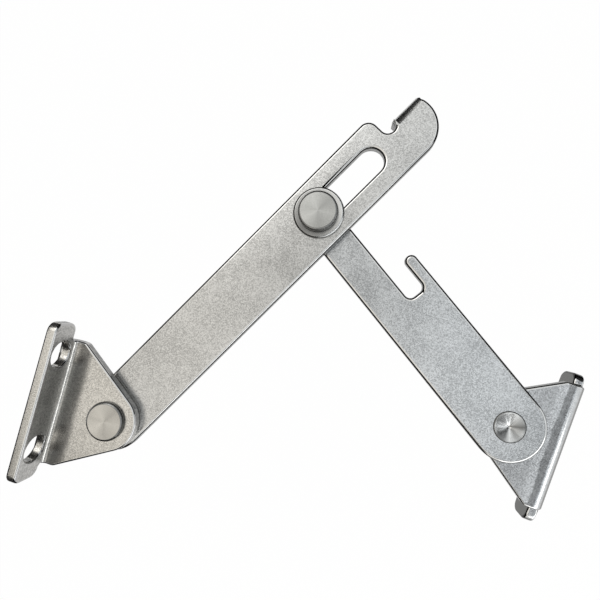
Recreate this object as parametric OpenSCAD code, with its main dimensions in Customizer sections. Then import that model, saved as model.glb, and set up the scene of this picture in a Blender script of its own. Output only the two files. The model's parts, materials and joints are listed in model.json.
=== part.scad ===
// Door stay with a sliding elbow: two folded sheet brackets, a long slotted arm
// and a short arm with a catch slot. All pivots stand along +Z. The origin is the
// middle of the frame bracket's two screw holes, on the face that meets the frame.
// +X points away from that face and +Y runs along the bracket.

/* [Brackets] */
// Thickness of the folded bracket sheet
sheet_t = 2.5; // [2:0.1:3]
// Length of a mounting flange
flange_len = 38.6; // [36:0.2:44]
// Reach of a flange's free edge past the ear's outer face
flange_rise = 8.7; // [8.4:0.1:12]
// Radius of the flange's end corners
flange_corner_r = 2.2; // [1:0.1:3]
// Inner radius of the fold
fold_r = 1; // [0.6:0.1:1.2]
// Distance from the mounting face to the pivot
pivot_reach = 15.6; // [14.5:0.1:18]
// Distance of the pivot from the middle of the flange
pivot_offset = 1.8; // [0:0.1:3]
// Radius of the ear's nose around the pivot
ear_nose_r = 7.5; // [6.8:0.1:8]
// Height of the ear's long shoulder from the pivot
ear_long = 16.8; // [15:0.1:17.4]
// Height of the ear's short shoulder from the pivot
ear_short = 14.7; // [13:0.1:15.5]
// Straight run of the ear's shoulders past the fold
ear_shoulder = 1.7; // [0.5:0.1:2.5]

/* [Screw holes] */
// Diameter of the screw holes
screw_d = 6.4; // [5:0.1:6.6]
// Spacing of the two screw holes in a bracket
screw_pitch = 23.2; // [20:0.2:26]
// Height of the screw holes above the ear's outer face
screw_rise = 4.4; // [4.3:0.1:4.6]

/* [Long arm] */
// Thickness of both arms
arm_t = 3; // [2.5:0.1:4]
// Width of the long arm
long_w = 16; // [15:0.1:19]
// Distance from the frame pivot to the slide pin at rest
long_reach = 72.5; // [60:0.5:95]
// Travel of the slide pin
slide_travel = 17.5; // [10:0.5:18]
// Metal between the end of the slot and the bend relief
relief_web = 3.9; // [3:0.1:6]
// Width of the bend relief
relief_w = 3.8; // [3:0.1:4.5]
// Depth of the bend relief below the tab's bent edge
relief_depth = 2.15; // [2:0.05:2.5]
// Distance of the tab's outer face from the arm's middle line
tab_face = 3.55; // [3.4:0.05:4.2]
// Outer radius of the tab's fold
tab_fold_r = 2.4; // [1:0.1:2.6]
// Length of the tab along the arm
tab_run = 7.6; // [6:0.1:9]
// Gap between the tab's cut end and the short arm's back
tab_gap = 0.2; // [0.1:0.05:0.5]
// Radius of the corner beside the bend relief
shoulder_r = 2.6; // [1:0.1:3]

/* [Short arm] */
// Width of the short arm
short_w = 17.2; // [16.4:0.1:20]
// Distance from the door pivot to the elbow, along the arm
short_reach = 67.6; // [60:0.5:85]
// Distance of the elbow from the arm's middle line
elbow_offset = 3.4; // [3:0.1:4]
// Distance from the elbow to the bottom of the catch slot
catch_start = 30.2; // [27:0.1:34]
// Depth of the catch slot from the finger's tip
catch_depth = 8.8; // [6:0.1:11]
// Clearance of the tab in the catch slot, both sides together
catch_clear = 1.9; // [1.2:0.1:2.2]
// Radius of the catch slot's inner corners
catch_corner_r = 1.6; // [0.6:0.1:2]
// Distance of the neck's inner edge from the arm's middle line
neck_edge = 0.6; // [0:0.1:0.7]

/* [Pivots] */
// Diameter of the rivet shanks
rivet_d = 5; // [4:0.1:5.4]
// Diameter of the frame rivet's flat head
rivet_head_d = 9.6; // [8.5:0.1:11]
// Height of the rivet heads
rivet_head_h = 1.1; // [0.8:0.1:1.8]
// Depth of the countersunk rivet ends
sink_depth = 1.1; // [0.8:0.1:1.4]
// Widening of a countersunk rivet end, on the radius
sink_flare = 1.2; // [0.8:0.1:1.6]
// Chamfer round the flat heads
head_edge = 0.35; // [0.1:0.05:0.5]
// Height of the door rivet's rim over the short arm
dish_rise = 0.2; // [0.1:0.05:0.25]
// Width of the door rivet's rim
dish_rim = 0.45; // [0.3:0.05:0.8]
// Depth of the door rivet's dish
dish_depth = 0.55; // [0.3:0.05:0.6]
// Diameter of the centre mark in the dish
dimple_d = 1.3; // [0.8:0.1:1.6]
// Depth of the centre mark below the dish
dimple_depth = 0.4; // [0.2:0.05:0.5]
// Diameter of the slide pin's barrel in the slot
barrel_d = 6.3; // [5.8:0.1:7]
// Diameter of the slide pin's turned head
pin_head_d = 9.6; // [9:0.1:11]
// Height of the slide pin's turned head
pin_head_h = 2; // [1.5:0.1:2.6]
// Diameter of the slide pin's spread tail
pin_tail_d = 8.8; // [7.5:0.1:9.6]
// Diameter of the collar under the slide pin's head
collar_d = 12.4; // [11.4:0.1:13.4]
// Thickness of the collar
collar_t = 0.9; // [0.6:0.1:1.2]
// Radius of the collar's rounded upper edge
collar_edge_r = 0.6; // [0.2:0.1:0.6]
// Depth of the groove between the head and the collar, on the radius
groove_depth = 0.5; // [0.3:0.1:0.8]
// Height of the groove between the head and the collar
groove_h = 0.35; // [0.2:0.05:0.5]
// Thickness of the hidden washers between the layers
washer_t = 0.4; // [0.35:0.05:0.8]
// Diameter of the hidden washers
washer_d = 10.6; // [10:0.1:12]

/* [Pose] */
// Angle of the long arm from +X
long_angle = 59.8; // [45:0.1:70]
// Angle between the long arm and the short arm
elbow_angle = 96; // [80:0.5:110]
// Angle of the door bracket from the frame bracket
door_angle = -4.4; // [-10:0.1:10]

/* [Fits] */
// Radial clearance of a pivot in its hole
pivot_clear = 0.05; // [0.03:0.01:0.08]
// Radial clearance of the slide pin in the long arm's slot
slot_clear = 0.09; // [0.05:0.01:0.1]

/* [Hidden] */
$fn = 96;

// Heights of the layers, from the viewer's side down
ear_top = -screw_rise;
ear_low = ear_top - sheet_t;
long_top = ear_low - washer_t;
long_low = long_top - arm_t;
short_top = long_low - washer_t;
short_low = short_top - arm_t;
door_ear_top = short_low - washer_t;
door_ear_low = door_ear_top - sheet_t;

rivet_r = rivet_d / 2;
barrel_r = barrel_d / 2;
slot_r = barrel_r + slot_clear;
long_r = long_w / 2;
short_r = short_w / 2;

// Stations along the long arm, from the frame pivot
slot_end = long_reach + slide_travel + slot_r;
relief_from = slot_end + relief_web;
relief_to = relief_from + relief_w;
tip_centre = relief_to + tab_run - sqrt(long_r * long_r - tab_face * tab_face);

// Stations along the short arm, from the door pivot toward the elbow
catch_bottom = short_reach - catch_start;
catch_w = arm_t + catch_clear;
finger_from = neck_edge + catch_w;
finger_r = (short_r - finger_from) / 2;
finger_tip = catch_bottom + catch_depth;
neck_r = short_r - elbow_offset;

// Places of the three pivots
frame_pivot = [pivot_reach, -pivot_offset];
elbow = frame_pivot + long_reach * [cos(long_angle), sin(long_angle)];
short_angle = long_angle - elbow_angle;
door_pivot = elbow + short_reach * [cos(short_angle), sin(short_angle)]
           + elbow_offset * [-sin(short_angle), cos(short_angle)];

// Small overlap that joins neighbouring outlines into one solid
join = 0.01;
// Run of a cut past the faces that it goes through
past = 1;

// Point where a line from p touches the circle of radius r around c
function touch(p, c, r, side) =
    let (d = p - c, away = atan2(d[1], d[0]), turn = acos(r / norm(d)))
    c + r * [cos(away + side * turn), sin(away + side * turn)];

// Square corner turned into a rounded one: the bit outside the round
module corner_bit(r, sx, sy) {
    difference() {
        translate([sx > 0 ? -r : -join, sy > 0 ? -r : -join])
            square(r + join);
        translate([-sx * r, -sy * r])
            circle(r = r);
    }
}

// Rectangle with all four corners rounded
module round_rect(x, y, w, h, r) {
    translate([x + r, y])
        square([w - 2 * r, h]);
    translate([x, y + r])
        square([w, h - 2 * r]);
    for (cx = [x + r, x + w - r], cy = [y + r, y + h - r])
        translate([cx, cy])
            circle(r = r);
}

// Outline of an ear, drawn with the mounting face on the Y axis
module ear_outline() {
    c = frame_pivot;
    fold_x = sheet_t + fold_r;
    upper = [fold_x + ear_shoulder, c[1] + ear_long];
    lower = [fold_x + ear_shoulder, c[1] - ear_short];
    polygon([[fold_x, upper[1]], upper, touch(upper, c, ear_nose_r, -1), c,
             touch(lower, c, ear_nose_r, 1), lower, [fold_x, lower[1]]]);
    translate(c)
        circle(r = ear_nose_r);
}

// Folded bracket: flange, quarter-round fold and ear with the pivot hole
module bracket() {
    fold_x = sheet_t + fold_r;
    fold_z = ear_top + fold_r;
    rise = flange_rise - fold_r;
    difference() {
        translate([0, 0, fold_z])
            rotate([90, 0, 90])
                linear_extrude(sheet_t)
                    round_rect(-flange_len / 2, 0, flange_len, rise, flange_corner_r);
        for (side = [-1, 1])
            translate([-past, side * screw_pitch / 2, 0])
                rotate([0, 90, 0])
                    cylinder(d = screw_d, h = sheet_t + 2 * past);
    }
    translate([fold_x, -pivot_offset + ear_long, fold_z])
        rotate([90, 0, 0])
            intersection() {
                linear_extrude(ear_long + ear_short)
                    difference() {
                        circle(r = fold_r + sheet_t);
                        circle(r = fold_r);
                    }
                translate([-2 * fold_x, -2 * fold_x, -past])
                    cube([2 * fold_x + join, 2 * fold_x + join, ear_long + ear_short + 2 * past]);
            }
    difference() {
        translate([0, 0, ear_low])
            linear_extrude(sheet_t)
                ear_outline();
        translate([frame_pivot[0], frame_pivot[1], ear_low - past])
            cylinder(r = rivet_r, h = sheet_t + 2 * past);
    }
}

// Washer with a hole, standing on z
module washer(d, hole_r, t) {
    difference() {
        cylinder(d = d, h = t);
        translate([0, 0, -past])
            cylinder(r = hole_r, h = t + 2 * past);
    }
}

module base_bracket() {
    color("silver")
        bracket();
}

// Frame rivet: flat head on the ear, tail spread flush in the long arm's back
module base_rivet() {
    tail = ear_top - long_low;
    head_r = rivet_head_d / 2;
    color("gainsboro")
        translate([frame_pivot[0], frame_pivot[1], ear_top])
            rotate_extrude()
                polygon([[0, -tail], [rivet_r + sink_flare, -tail], [rivet_r, sink_depth - tail],
                         [rivet_r, 0], [head_r, 0], [head_r, rivet_head_h - head_edge],
                         [head_r - head_edge, rivet_head_h], [0, rivet_head_h]]);
}

module base_washer() {
    color("gray")
        translate([frame_pivot[0], frame_pivot[1], long_top])
            washer(washer_d, rivet_r + pivot_clear, washer_t);
}

// Outline of the long arm, along +X from the frame pivot
module long_outline() {
    difference() {
        union() {
            circle(r = long_r);
            translate([0, -long_r])
                square([tip_centre, long_w]);
            translate([tip_centre, 0])
                circle(r = long_r);
        }
        translate([relief_from, tab_face])
            square([long_w, long_w]);
        translate([relief_from, long_r])
            corner_bit(shoulder_r, 1, 1);
        translate([relief_from + relief_w / 2, tab_face - relief_depth + relief_w / 2])
            circle(r = relief_w / 2);
        translate([relief_from, tab_face - relief_depth + relief_w / 2])
            square([relief_w, relief_w]);
        slot_outline();
    }
}

module slot_outline() {
    translate([long_reach, 0])
        circle(r = slot_r);
    translate([long_reach, -slot_r])
        square([slide_travel, 2 * slot_r]);
    translate([long_reach + slide_travel, 0])
        circle(r = slot_r);
}

// Tab at the tip, folded down into the short arm's layer
module tab() {
    drop = long_top - short_low - tab_gap;
    translate([relief_to, tab_face, long_top])
        rotate([90, 0, 90])
            linear_extrude(tab_run)
                difference() {
                    translate([-arm_t, -drop])
                        square([arm_t, drop]);
                    corner_bit(tab_fold_r, 1, 1);
                }
}

module long_arm() {
    color("silver")
        translate([frame_pivot[0], frame_pivot[1], 0])
            rotate([0, 0, long_angle])
                difference() {
                    union() {
                        difference() {
                            translate([0, 0, long_low])
                                linear_extrude(arm_t)
                                    long_outline();
                            translate([relief_to, tab_face, long_top])
                                rotate([90, 0, 90])
                                    linear_extrude(long_w)
                                        corner_bit(tab_fold_r, 1, 1);
                        }
                        tab();
                    }
                    translate([0, 0, long_low])
                        sunk_hole();
                }
}

// Cutter for a pivot hole with a countersink at z = 0, entered from below
module sunk_hole() {
    hole_r = rivet_r + pivot_clear;
    rotate_extrude()
        polygon([[0, -past], [hole_r + sink_flare, -past], [hole_r + sink_flare, 0],
                 [hole_r, sink_depth], [hole_r, arm_t + past], [0, arm_t + past]]);
}

// Slide pin: turned head, barrel in the slot, journal in the short arm, spread tail
module slide_pin() {
    head_low = long_top + collar_t;
    head_top = head_low + pin_head_h;
    head_r = pin_head_d / 2;
    neck = head_r - groove_depth;
    tail_r = pin_tail_d / 2;
    tail_low = short_low - rivet_head_h;
    color("gainsboro")
        translate([elbow[0], elbow[1], 0])
            rotate_extrude()
                polygon([[0, tail_low], [tail_r - head_edge, tail_low],
                         [tail_r, tail_low + head_edge], [tail_r, short_low],
                         [rivet_r, short_low], [rivet_r, short_top], [barrel_r, short_top],
                         [barrel_r, head_low], [neck, head_low], [neck, head_low + groove_h],
                         [head_r, head_low + groove_h], [head_r, head_top - head_edge],
                         [head_r - head_edge, head_top], [0, head_top]]);
}

// Collar: a thick washer whose upper edge is turned round
module slide_collar() {
    flat_r = collar_d / 2 - collar_edge_r;
    color("silver")
        translate([elbow[0], elbow[1], long_top])
            rotate_extrude() {
                translate([barrel_r, 0])
                    square([flat_r - barrel_r, collar_t]);
                translate([barrel_r, 0])
                    square([collar_d / 2 - barrel_r, collar_t - collar_edge_r]);
                translate([flat_r - join, collar_t - collar_edge_r - join])
                    intersection() {
                        circle(r = collar_edge_r + join);
                        square(collar_edge_r + join);
                    }
            }
}

module elbow_washer() {
    color("gray")
        translate([elbow[0], elbow[1], short_top])
            washer(washer_d, barrel_r, washer_t);
}

// Outline of the short arm, along +X from the door pivot toward the elbow
module short_outline() {
    circle(r = short_r);
    translate([0, -short_r])
        square([catch_bottom, short_w]);
    translate([catch_bottom - join, -short_r])
        square([short_reach - catch_bottom + join, short_r + neck_edge]);
    translate([short_reach, -elbow_offset])
        circle(r = neck_r);
    translate([catch_bottom - join, finger_from])
        square([catch_depth - finger_r + join, 2 * finger_r]);
    translate([finger_tip - finger_r, finger_from + finger_r])
        circle(r = finger_r);
    translate([catch_bottom, neck_edge])
        mirror([1, 0])
            mirror([0, 1])
                corner_fill(catch_corner_r);
    translate([catch_bottom, finger_from])
        mirror([1, 0])
            corner_fill(catch_corner_r);
}

// Fill of an inner corner, for a corner whose free side is toward -X and -Y
module corner_fill(r) {
    difference() {
        translate([-r, -r])
            square(r + join);
        translate([-r, -r])
            circle(r = r);
    }
}

module short_arm() {
    color("silver")
        translate([door_pivot[0], door_pivot[1], 0])
            rotate([0, 0, short_angle + 180])
                difference() {
                    translate([0, 0, short_low])
                        linear_extrude(arm_t)
                            mirror([0, 1])
                                short_outline();
                    translate([0, 0, short_top])
                        mirror([0, 0, 1])
                            sunk_hole();
                    translate([short_reach, elbow_offset, short_low - past])
                        cylinder(r = rivet_r + pivot_clear, h = arm_t + 2 * past);
                }
}

// Door bracket: the same blank folded the other way and turned half round
module door_bracket() {
    color("silver")
        translate([door_pivot[0], door_pivot[1], ear_top + door_ear_low])
            rotate([0, 0, door_angle + 180])
                translate([-frame_pivot[0], -frame_pivot[1], 0])
                    mirror([0, 0, 1])
                        bracket();
}

// Door rivet: dished face nearly flush with the short arm, flat head behind the ear
module door_rivet() {
    top_r = rivet_r + sink_flare;
    head_r = rivet_head_d / 2;
    head_low = door_ear_low - rivet_head_h;
    rim = short_top + dish_rise;
    color("gainsboro")
        translate([door_pivot[0], door_pivot[1], 0])
            rotate_extrude()
                polygon([[0, head_low], [head_r - head_edge, head_low],
                         [head_r, head_low + head_edge], [head_r, door_ear_low],
                         [rivet_r, door_ear_low], [rivet_r, short_top - sink_depth],
                         [top_r, short_top], [top_r, rim], [top_r - dish_rim, rim],
                         [dimple_d / 2, rim - dish_depth], [0, rim - dish_depth - dimple_depth]]);
}

module door_washer() {
    color("gray")
        translate([door_pivot[0], door_pivot[1], door_ear_top])
            washer(washer_d, rivet_r + pivot_clear, washer_t);
}

base_bracket();
base_rivet();
base_washer();
long_arm();
slide_pin();
slide_collar();
elbow_washer();
short_arm();
door_bracket();
door_rivet();
door_washer();
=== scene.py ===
import json
import math

import bmesh
import bpy
from mathutils import Euler, Matrix, Vector


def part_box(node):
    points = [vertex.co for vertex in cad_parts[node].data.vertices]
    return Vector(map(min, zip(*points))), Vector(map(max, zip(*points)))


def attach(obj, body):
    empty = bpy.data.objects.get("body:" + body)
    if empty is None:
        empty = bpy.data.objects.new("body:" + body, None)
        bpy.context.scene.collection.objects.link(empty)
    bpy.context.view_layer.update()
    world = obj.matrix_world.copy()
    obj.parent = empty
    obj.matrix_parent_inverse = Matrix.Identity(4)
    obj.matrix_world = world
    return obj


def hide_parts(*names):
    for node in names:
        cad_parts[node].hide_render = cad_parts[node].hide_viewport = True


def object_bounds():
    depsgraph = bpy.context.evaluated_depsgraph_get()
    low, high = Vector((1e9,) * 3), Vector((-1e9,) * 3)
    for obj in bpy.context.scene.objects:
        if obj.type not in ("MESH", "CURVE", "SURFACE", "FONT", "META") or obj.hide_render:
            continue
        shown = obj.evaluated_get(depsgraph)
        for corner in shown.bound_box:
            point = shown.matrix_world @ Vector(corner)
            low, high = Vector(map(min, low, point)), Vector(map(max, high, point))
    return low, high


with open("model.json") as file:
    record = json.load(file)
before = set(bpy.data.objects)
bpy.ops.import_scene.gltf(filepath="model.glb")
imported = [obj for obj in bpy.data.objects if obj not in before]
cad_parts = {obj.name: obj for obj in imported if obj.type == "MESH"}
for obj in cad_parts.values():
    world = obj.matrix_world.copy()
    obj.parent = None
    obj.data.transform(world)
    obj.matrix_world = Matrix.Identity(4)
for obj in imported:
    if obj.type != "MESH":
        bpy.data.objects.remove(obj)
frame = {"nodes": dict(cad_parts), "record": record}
cad_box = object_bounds()
mm = 0.001
studio = bpy.context.scene.collection

# The view: the stay is seen from straight above its plates, a hand's breadth away, so
# the layers lean outward toward the sides of the picture. The roll and the small tilt
# are the photograph's, and the picture is as wide as it is high.
camera_data = bpy.data.cameras.new("view_camera")
camera_data.sensor_width = 36.0
camera_data.lens = 27.0333
camera_data.clip_start = 5 * mm
camera = bpy.data.objects.new("view_camera", camera_data)
tilt_back = math.radians(2.1214)
tilt_across = math.radians(6.3955)
roll = math.radians(15.5333)
camera_place = Vector((66.083, 38.694, 100.699)) * mm
camera_turn = Euler((tilt_back, tilt_across, roll)).to_matrix()
camera_right, camera_up, camera_back = camera_turn.transposed()
camera.matrix_world = Matrix.Translation(camera_place) @ camera_turn.to_4x4()
studio.objects.link(camera)
bpy.context.scene.camera = camera


# The table: a wide white sheet well below the stay, which a jig would hold by its frame
# screws. Seen directly it is near its full white, and what is left of it keeps the soft
# shadow of the stay.
class Socket:
    """One output of a node, with the sums that the finishes use."""

    def __init__(self, bench, out):
        self.bench = bench
        self.out = out

    def sum(self, operation, a, b):
        return self.bench.node("ShaderNodeMath", {"operation": operation}, {0: a, 1: b})

    def __add__(self, other):
        return self.sum("ADD", self, other)

    def __sub__(self, other):
        return self.sum("SUBTRACT", self, other)

    def __rsub__(self, other):
        return self.sum("SUBTRACT", other, self)

    def __mul__(self, other):
        return self.sum("MULTIPLY", self, other)

    __radd__ = __add__
    __rmul__ = __mul__


class Bench:
    """A material or world on which every node is made by one method."""

    def __init__(self, owner):
        owner.use_nodes = True
        self.tree = owner.node_tree
        self.tree.nodes.clear()

    def node(self, kind, settings=None, inputs=None, output=0):
        """A new node with its inputs set or linked. "stops" fills a colour ramp."""
        made = self.tree.nodes.new(kind)
        for name, value in (settings or {}).items():
            if name == "stops":
                ramp = made.color_ramp
                while len(ramp.elements) < len(value):
                    ramp.elements.new(0.5)
                for element, (place, colour) in zip(ramp.elements, value):
                    element.position = place
                    element.color = (*colour, 1.0)
            else:
                setattr(made, name, value)
        for name, value in (inputs or {}).items():
            if isinstance(value, Socket):
                self.tree.links.new(value.out, made.inputs[name])
            else:
                made.inputs[name].default_value = value
        return Socket(self, made.outputs[output]) if made.outputs else None

    def along(self, vector, direction):
        """How far a vector reaches in a fixed direction."""
        return self.node(
            "ShaderNodeVectorMath", {"operation": "DOT_PRODUCT"},
            {0: vector, 1: tuple(direction)}, output="Value",
        )

    def mix(self, factor, a, b, blend="MIX"):
        """Two colours mixed or multiplied."""
        return self.node(
            "ShaderNodeMix", {"data_type": "RGBA", "blend_type": blend},
            {"Factor": factor, "A": a, "B": b}, output="Result",
        )

    def noise(self, spot, scale, detail):
        """Soft noise at a place on the piece, with so many sizes of detail."""
        return self.node(
            "ShaderNodeTexNoise", {"noise_dimensions": "3D"},
            {"Vector": spot, "Scale": scale, "Detail": detail, "Roughness": 0.6},
        )

    def seen_directly(self):
        """1 for the camera, mirror and clear rays, and 0 for the light's other ways."""
        kinds = ["Is Camera Ray", "Is Glossy Ray", "Is Transmission Ray"]
        rays = [self.node("ShaderNodeLightPath", output=kind) for kind in kinds]
        return self.node("ShaderNodeMath", {"operation": "MINIMUM"}, {0: sum(rays, 0), 1: 1.0})


table_drop = 95 * mm
table_half = 3.0
white_share = 0.93
stay_middle = Vector((60, 30, -10)) * mm
table_place = (stay_middle.x, stay_middle.y, cad_box[0][2] - table_drop)
bm = bmesh.new()
bmesh.ops.create_grid(bm, x_segments=2, y_segments=2, size=table_half)
bmesh.ops.translate(bm, vec=table_place, verts=bm.verts)
table_mesh = bpy.data.meshes.new("table_sheet")
bm.to_mesh(table_mesh)
bm.free()
table = bpy.data.objects.new("table_sheet", table_mesh)
studio.objects.link(table)
table_white = bpy.data.materials.new("table_white")
bench = Bench(table_white)
matt = bench.node("ShaderNodeBsdfDiffuse", inputs={"Color": (0.9, 0.9, 0.9, 1)})
bright = bench.node("ShaderNodeEmission", inputs={"Color": (1, 1, 1, 1), "Strength": 1.0})
share = bench.seen_directly() * white_share
sheet = bench.node("ShaderNodeMixShader", inputs={0: share, 1: matt, 2: bright})
bench.node("ShaderNodeOutputMaterial", inputs={"Surface": sheet})
table_mesh.materials.append(table_white)

# The light tent: a pale dome over the table, warmer at the picture's left and cooler at
# its right. A greyer patch is where the camera and its hood stand in the dome.
tent_light = 0.95
hood_shade = 0.5
hood_rim, hood_heart = 0.97, 0.998
warm_white = (1.0, 0.97, 0.915)
cool_white = (0.94, 0.975, 1.0)
hood_aim = (camera_back - camera_right * 0.12 + camera_up * 0.1).normalized()
tent = bpy.data.worlds.new("light_tent")
bpy.context.scene.world = tent
bench = Bench(tent)
toward = bench.node("ShaderNodeTexCoord", output="Generated")
across = bench.along(toward, camera_right)
warm_to_cool = bench.node(
    "ShaderNodeValToRGB", {"stops": [(0.3, warm_white), (0.65, cool_white)]},
    {0: across * 0.5 + 0.5},
)
hood = bench.node(
    "ShaderNodeMapRange", {"interpolation_type": "SMOOTHSTEP"},
    {"Value": bench.along(toward, hood_aim), "From Min": hood_rim, "From Max": hood_heart,
     "To Min": 0.0, "To Max": hood_shade},
)
dome = bench.mix(hood, warm_to_cool, (0, 0, 0, 1), "MULTIPLY")
glow = bench.node("ShaderNodeBackground", inputs={"Color": dome, "Strength": tent_light})
bench.node("ShaderNodeOutputWorld", inputs={"Surface": glow})

# The black flags: a ring of black cloth just outside the picture, open at its lower right,
# and a higher strip over that opening. Only the metal sees them, and they draw the dark
# lines that run along its rounded edges.
flag_radius = 230 * mm
flag_middle = Vector((60, 35, 0)) * mm
flag_steps = 48
black_cloth = bpy.data.materials.new("black_cloth")
bench = Bench(black_cloth)
cloth = bench.node("ShaderNodeBsdfDiffuse", inputs={"Color": (0.012, 0.012, 0.012, 1)})
bench.node("ShaderNodeOutputMaterial", inputs={"Surface": cloth})
opening = camera_right - camera_up
open_side = math.atan2(opening.y, opening.x)


def black_flag(name, low, high, middle, half_width):
    """An upright strip of black cloth, bent round the stay."""
    bm = bmesh.new()
    first = middle - half_width
    start = bm.verts.new((flag_radius * math.cos(first), flag_radius * math.sin(first), low))
    bmesh.ops.spin(
        bm, geom=[start], axis=(0, 0, 1), cent=(0, 0, 0), angle=2 * half_width, steps=flag_steps
    )
    rim = bmesh.ops.extrude_edge_only(bm, edges=bm.edges[:])["geom"]
    raised = [part for part in rim if isinstance(part, bmesh.types.BMVert)]
    bmesh.ops.translate(bm, vec=(0, 0, high - low), verts=raised)
    bmesh.ops.translate(bm, vec=flag_middle, verts=bm.verts)
    flag_mesh = bpy.data.meshes.new(name)
    bm.to_mesh(flag_mesh)
    bm.free()
    flag_mesh.materials.append(black_cloth)
    flag = bpy.data.objects.new(name, flag_mesh)
    studio.objects.link(flag)
    flag.visible_camera = False
    flag.visible_diffuse = False
    flag.visible_shadow = False


black_flag(
    "ring_flag", low=-110 * mm, high=175 * mm, middle=open_side + math.pi,
    half_width=math.radians(130),
)
black_flag(
    "high_flag", low=230 * mm, high=320 * mm, middle=open_side, half_width=math.radians(60)
)


# The lamps: a softbox over the picture's upper left, and a narrow strip at its lower right
# that puts a bright line along the edges on that side.
def softbox(name, place, size, power):
    """A rectangular studio lamp aimed at the middle of the stay."""
    lamp = bpy.data.lights.new(name, "AREA")
    lamp.shape = "RECTANGLE"
    lamp.size, lamp.size_y = size
    lamp.energy = power
    made = bpy.data.objects.new(name, lamp)
    made.location = place
    aim = stay_middle - Vector(place)
    made.rotation_euler = aim.to_track_quat("-Z", "Y").to_euler()
    studio.objects.link(made)


strip_reach = 0.5
strip_height = 0.2
strip_place = (
    strip_reach * math.cos(open_side), strip_reach * math.sin(open_side), strip_height
)
softbox("over_lamp", (-0.3, 0.4, 0.6), size=(0.5, 0.5), power=0.8)
softbox("edge_strip", strip_place, size=(0.5, 0.12), power=0.45)

# The frame bracket: an angle pressed from 2.5 mm stainless sheet, blasted and then tumbled,
# which leaves bright round edges. The flange's inner face and a strip beside the fold get
# painted shade.
sheet_rounding = 0.5 * mm
least_edge = math.radians(28)
painted_band_reach = 20 * mm


def blasted_steel(name, colour, grain, contrast, roughness, dent, wall_shade=None, fold=None):
    """Steel with fine speckle over slow cloudy stains.

    Its upright walls may get painted shade, a greyer colour set by the way they face. A fold is
    a point on its outer face, the way inward, and bands of painted shade and painted highlight
    beside the fold as (mm from that face, share of light).
    """
    speckle_share = 0.72
    wear = 0.14
    wall_below, flat_above = 0.7, 0.86
    steel = bpy.data.materials.new(name)
    bench = Bench(steel)
    spot = bench.node("ShaderNodeTexCoord", output="Object")
    speckle = bench.noise(spot, grain, 1.0)
    clouds = bench.noise(spot, 90.0, 5.0)
    dark = tuple(part * (1 - contrast) for part in colour)
    light = tuple(min(part * (1 + contrast), 1.0) for part in colour)
    tone = bench.node(
        "ShaderNodeValToRGB", {"stops": [(0.38, dark), (0.62, light)]},
        {0: speckle * speckle_share + clouds * (1 - speckle_share)},
    )
    # Painted shade and painted highlight: bands parallel to the fold scale the colour by the
    # distance from it.
    if fold:
        outer_face, inward, painted_bands = fold
        depth = bench.along(spot, inward) - outer_face.dot(inward)
        stops = [(reach * mm / painted_band_reach, (share,) * 3) for reach, share in painted_bands]
        shade = bench.node(
            "ShaderNodeValToRGB", {"stops": stops},
            {0: depth * (1 / painted_band_reach) + (clouds - 0.5) * 0.12},
        )
        tone = bench.mix(1.0, tone, shade, "MULTIPLY")
    # Painted shade: faces that stand upright are mixed toward the darker wall colour, by the way
    # they face.
    if wall_shade:
        facing = bench.node("ShaderNodeTexCoord", output="Normal")
        upward = bench.node("ShaderNodeSeparateXYZ", inputs={0: facing}, output="Z")
        level = bench.node("ShaderNodeMath", {"operation": "ABSOLUTE"}, {0: upward})
        flatness = bench.node(
            "ShaderNodeMapRange",
            inputs={"Value": level, "From Min": wall_below, "From Max": flat_above},
        )
        tone = bench.mix(flatness, (*wall_shade, 1), tone)
    bump = bench.node(
        "ShaderNodeBump", inputs={"Strength": dent, "Distance": 0.03 * mm, "Height": speckle}
    )
    metal = bench.node(
        "ShaderNodeBsdfPrincipled",
        inputs={"Base Color": tone, "Metallic": 1.0, "Normal": bump,
                "Roughness": clouds * wear + (roughness - wear / 2)},
    )
    bench.node("ShaderNodeOutputMaterial", inputs={"Surface": metal})
    return steel


def tumbled_piece(node, name, width, body, finishes, finish_of, stays_sharp=None):
    """A copy of a CAD piece with its edges rounded, and a finish for each of its faces.

    The rounded edges get the second finish.
    """
    bm = bmesh.new()
    bm.from_mesh(frame["nodes"][node].data)
    bmesh.ops.remove_doubles(bm, verts=bm.verts, dist=0.001 * mm)
    bmesh.ops.dissolve_limit(
        bm, angle_limit=math.radians(0.5), verts=bm.verts, edges=bm.edges, delimit={"NORMAL"}
    )
    for face in bm.faces:
        face.smooth = True
        face.material_index = finish_of(face)
    rounding = bm.edges.layers.float.new("bevel_weight_edge")
    for edge in bm.edges:
        middle = (edge.verts[0].co + edge.verts[1].co) / 2
        is_edge = edge.calc_face_angle(0) > least_edge
        if is_edge and not (stays_sharp and stays_sharp(middle)):
            edge[rounding] = 1.0
    mesh = bpy.data.meshes.new(name)
    bm.to_mesh(mesh)
    bm.free()
    for finish in finishes:
        mesh.materials.append(finish)
    piece = bpy.data.objects.new(name, mesh)
    studio.objects.link(piece)
    tumbled = piece.modifiers.new("tumbled", "BEVEL")
    tumbled.width = width
    tumbled.segments = 4
    tumbled.limit_method = "WEIGHT"
    tumbled.use_clamp_overlap = False
    tumbled.material = 1
    level = piece.modifiers.new("flat_faces", "WEIGHTED_NORMAL")
    level.weight = 100
    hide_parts(node)
    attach(piece, body)


# The rounded edges are polished bright, and their upright outer part gets painted shade.
tumbled_and_shaded_edge = blasted_steel(
    "tumbled_and_shaded_edge", (0.74, 0.735, 0.72), grain=700, contrast=0.05, roughness=0.13, dent=0.05,
    wall_shade=(0.42, 0.415, 0.41),
)
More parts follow.
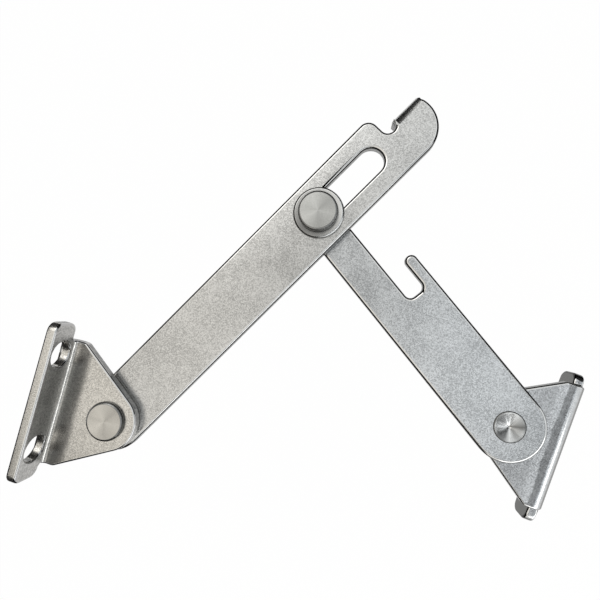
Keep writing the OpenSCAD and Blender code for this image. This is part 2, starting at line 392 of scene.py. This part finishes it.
# Painted shade: a dark strip beside the frame bracket's fold, from about 2.5 to 8 mm from it.
frame_fold_shade = [(2.4, 1.0), (2.6, 0.78), (3.7, 0.8), (4.5, 0.48), (6.6, 0.45), (8.0, 0.97)]
frame_steel = blasted_steel(
    "frame_steel", (0.65, 0.635, 0.60), grain=3500, contrast=0.26, roughness=0.27, dent=0.4,
    fold=(Vector((0, 0, 0)), Vector((1, 0, 0)), frame_fold_shade),
)
# The blanked walls' greyer colour is partly the cut steel's own and partly painted shade.
blanked_and_shaded_wall = blasted_steel(
    "blanked_and_shaded_wall", (0.26, 0.26, 0.255), grain=1500, contrast=0.3, roughness=0.36, dent=0.3
)
# Painted shade: the flange's inner face gets a darker steel colour.
flange_shade_steel = blasted_steel(
    "flange_shade_steel", (0.40, 0.395, 0.38), grain=3000, contrast=0.28, roughness=0.3, dent=0.35
)


def frame_face(face):
    """2 for the flange's inner face, 3 for the blanked walls and 0 for the rest."""
    if face.normal.x > 0.8:
        return 2
    return 3 if abs(face.normal.z) < 0.2 and abs(face.normal.y) > 0.2 else 0


tumbled_piece(
    "base_bracket", "frame_bracket", sheet_rounding, "frame_side",
    [frame_steel, tumbled_and_shaded_edge, flange_shade_steel, blanked_and_shaded_wall], frame_face,
)

# The slotted arm: a 3 mm bar of stainless sheet, blanked with its slot and tab relief and
# then blasted. The blanked walls are scored by the punch, and their greyer colour is partly
# their own and partly painted shade. The edges round the folded tab stay sharp.
bar_rounding = 0.75 * mm
tab_start, tab_end, tab_side = 100.4 * mm, 109.0 * mm, 4.2 * mm


def middle_of(node):
    """The middle of a CAD piece, which is on its axis where the piece is turned."""
    low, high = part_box(node)
    return (low + high) / 2


frame_pivot = middle_of("base_rivet")
arm_line = (middle_of("slide_pin") - frame_pivot).xy.normalized()
arm_side = arm_line.orthogonal()
arm_steel = blasted_steel(
    "slotted_arm_steel", (0.565, 0.565, 0.555), grain=3500, contrast=0.28, roughness=0.27,
    dent=0.45,
)
# The arms' rounded edges are polished bright, and their upright outer part is painted near black
# as painted shade.
arm_edge = blasted_steel(
    "arm_edge", (0.74, 0.735, 0.72), grain=700, contrast=0.05, roughness=0.13, dent=0.05,
    wall_shade=(0.05, 0.05, 0.048),
)


def flat_or_wall(face):
    """0 for the faces that look up or down, and 2 for the walls."""
    return 2 if abs(face.normal.z) < 0.4 else 0


def near_tab(point):
    """Whether a point of the arm is by its folded tab."""
    from_pivot = (point - frame_pivot).xy
    along, aside = from_pivot.dot(arm_line), from_pivot.dot(arm_side)
    return tab_start < along < tab_end and 0 < aside < tab_side


tumbled_piece(
    "long_arm", "slotted_arm", bar_rounding, "long",
    [arm_steel, arm_edge, blanked_and_shaded_wall], flat_or_wall, near_tab,
)

# The catch arm: the same bar with the hooked finger that drops behind the tab, in a steel
# that is a little bluer in the photograph. The hole that the door rivet fills stays sharp.
rivet_room = 6 * mm
door_pivot = middle_of("door_rivet")
catch_steel = blasted_steel(
    "catch_arm_steel", (0.60, 0.615, 0.625), grain=3500, contrast=0.3, roughness=0.27, dent=0.45
)


def near_door_rivet(point):
    """Whether a point of the arm is by the hole of the door rivet."""
    return (point - door_pivot).xy.length < rivet_room


tumbled_piece(
    "short_arm", "catch_arm", bar_rounding, "short",
    [catch_steel, arm_edge, blanked_and_shaded_wall], flat_or_wall, near_door_rivet,
)

# The door bracket: the same pressing as the frame bracket with its flange turned away, so
# the outside of the fold shows. The press brightened the fold. Beside it lie a dark strip of
# painted shade and a pale strip of painted highlight, and its walls get painted shade.
door_mount = next(row for row in frame["record"]["mounts"] if row["name"] == "door_face")
door_out = Vector(door_mount["axis"])
# Painted shade and painted highlight: a dark strip and a pale strip beside the door bracket's
# fold.
door_fold_shade_and_highlight = [(3.1, 1.0), (3.3, 0.6), (4.8, 0.65), (5.1, 1.25), (6.6, 1.2), (7.4, 0.95)]
# The door bracket's upright walls get painted shade.
door_steel = blasted_steel(
    "door_steel", (0.57, 0.58, 0.59), grain=3300, contrast=0.32, roughness=0.27, dent=0.45,
    wall_shade=(0.13, 0.13, 0.125), fold=(Vector(door_mount["pos_m"]), -door_out, door_fold_shade_and_highlight),
)
# The round of the fold is smoother, and its upright part gets painted shade.
door_fold = blasted_steel(
    "door_fold", (0.6, 0.6, 0.595), grain=1500, contrast=0.1, roughness=0.17, dent=0.1,
    wall_shade=(0.1, 0.1, 0.095),
)


def door_face(face):
    """2 for the round of the fold and 0 for the rest."""
    return 2 if 0.15 < abs(face.normal.z) < 0.97 else 0


tumbled_piece(
    "door_bracket", "leaf_bracket", sheet_rounding, "door_side",
    [door_steel, arm_edge, door_fold], door_face,
)

# The rivets and the sliding pin: turned from stainless bar. The fine turning grooves are a
# bump, and bright and dark rays from the middle of each face are painted highlight and painted
# shade. The rounded rims and the walls are darkened with painted shade.
turned_rounding = 0.25 * mm


def turned_steel(name, node, colour, rays):
    """Lathe-turned steel, with painted rays of highlight and shade as (place round the circle,
    share of light).
    """
    middle = middle_of(node)
    steel = bpy.data.materials.new(name)
    bench = Bench(steel)
    spot = bench.node("ShaderNodeTexCoord", output="Object")
    centred = bench.node(
        "ShaderNodeMapping", {"vector_type": "POINT"},
        {"Vector": spot, "Location": (-middle.x, -middle.y, 0), "Scale": (1, 1, 0)},
    )
    rings = bench.node(
        "ShaderNodeTexWave", {"wave_type": "RINGS", "rings_direction": "Z"},
        {"Vector": centred, "Scale": 1500.0, "Distortion": 0.8, "Detail": 2.0,
         "Detail Scale": 2.0},
    )
    round_middle = bench.node(
        "ShaderNodeTexGradient", {"gradient_type": "RADIAL"}, {"Vector": centred}
    )
    clouds = bench.noise(spot, 700.0, 4.0)
    # Painted highlight and painted shade: the rays scale the colour round the middle of the
    # face.
    stops = [(place, tuple(part * share for part in colour)) for place, share in rays]
    tone = bench.node(
        "ShaderNodeValToRGB", {"stops": stops}, {0: round_middle + (clouds - 0.5) * 0.06}
    )
    mottled = bench.mix(clouds * 0.35, tone, (0.55, 0.55, 0.54, 1), "MULTIPLY")
    bump = bench.node(
        "ShaderNodeBump", inputs={"Strength": 0.3, "Distance": 0.012 * mm, "Height": rings}
    )
    metal = bench.node(
        "ShaderNodeBsdfPrincipled",
        inputs={"Base Color": mottled, "Metallic": 1.0, "Normal": bump,
                "Roughness": clouds * 0.1 + 0.17},
    )
    bench.node("ShaderNodeOutputMaterial", inputs={"Surface": metal})
    return steel


# Painted shade: the rounded rims of the turned pieces are dark, and darker still where upright.
turned_rim_shade = blasted_steel(
    "turned_rim_shade", (0.26, 0.26, 0.255), grain=900, contrast=0.06, roughness=0.14, dent=0.05,
    wall_shade=(0.08, 0.08, 0.075),
)
# Painted shade: the walls of the turned pieces are dark.
turned_wall_shade = blasted_steel(
    "turned_wall_shade", (0.17, 0.17, 0.165), grain=1500, contrast=0.2, roughness=0.3, dent=0.2
)
# The painted rays: shares of light round each turned face, in sectors of painted highlight and
# painted shade.
soft_painted_rays = [(0.0, 0.98), (0.12, 1.2), (0.3, 0.84), (0.5, 1.04), (0.66, 0.8), (0.85, 1.1),
             (1.0, 0.98)]
painted_star_rays = [(0.0, 1.0), (0.04, 1.25), (0.13, 0.32), (0.21, 0.4), (0.29, 1.35), (0.38, 0.7),
             (0.46, 1.05), (0.54, 0.3), (0.63, 0.8), (0.71, 1.4), (0.79, 1.5), (0.88, 0.7),
             (0.96, 0.5), (1.0, 1.0)]
painted_collar_rays = [(0.0, 0.75), (0.17, 0.45), (0.29, 0.6), (0.42, 1.1), (0.54, 1.4), (0.67, 1.25),
               (0.79, 0.9), (1.0, 0.75)]
for node, name, body, colour, rays in (
    ("base_rivet", "frame_rivet", "frame_side", (0.60, 0.585, 0.55), soft_painted_rays),
    ("slide_pin", "turned_pin", "slider", (0.57, 0.575, 0.56), soft_painted_rays),
    ("slide_collar", "turned_collar", "slider", (0.60, 0.60, 0.59), painted_collar_rays),
    ("door_rivet", "leaf_rivet", "door_side", (0.66, 0.66, 0.65), painted_star_rays),
):
    steel = turned_steel(name + "_steel", node, colour, rays)
    tumbled_piece(
        node, name, turned_rounding, body, [steel, turned_rim_shade, turned_wall_shade],
        flat_or_wall,
    )

# The washers: thin steel rings stamped from sheet, which keep the layers apart at the three
# pivots. They are dull and a little darker than the plates.
washer_steel = blasted_steel(
    "dull_washer_steel", (0.42, 0.42, 0.415), grain=2500, contrast=0.15, roughness=0.34, dent=0.3
)
for node in ("base_washer", "elbow_washer", "door_washer"):
    washer_mesh = frame["nodes"][node].data
    washer_mesh.materials.clear()
    washer_mesh.materials.append(washer_steel)

# The end: plain view colours.
bpy.context.scene.view_settings.view_transform = "Standard"
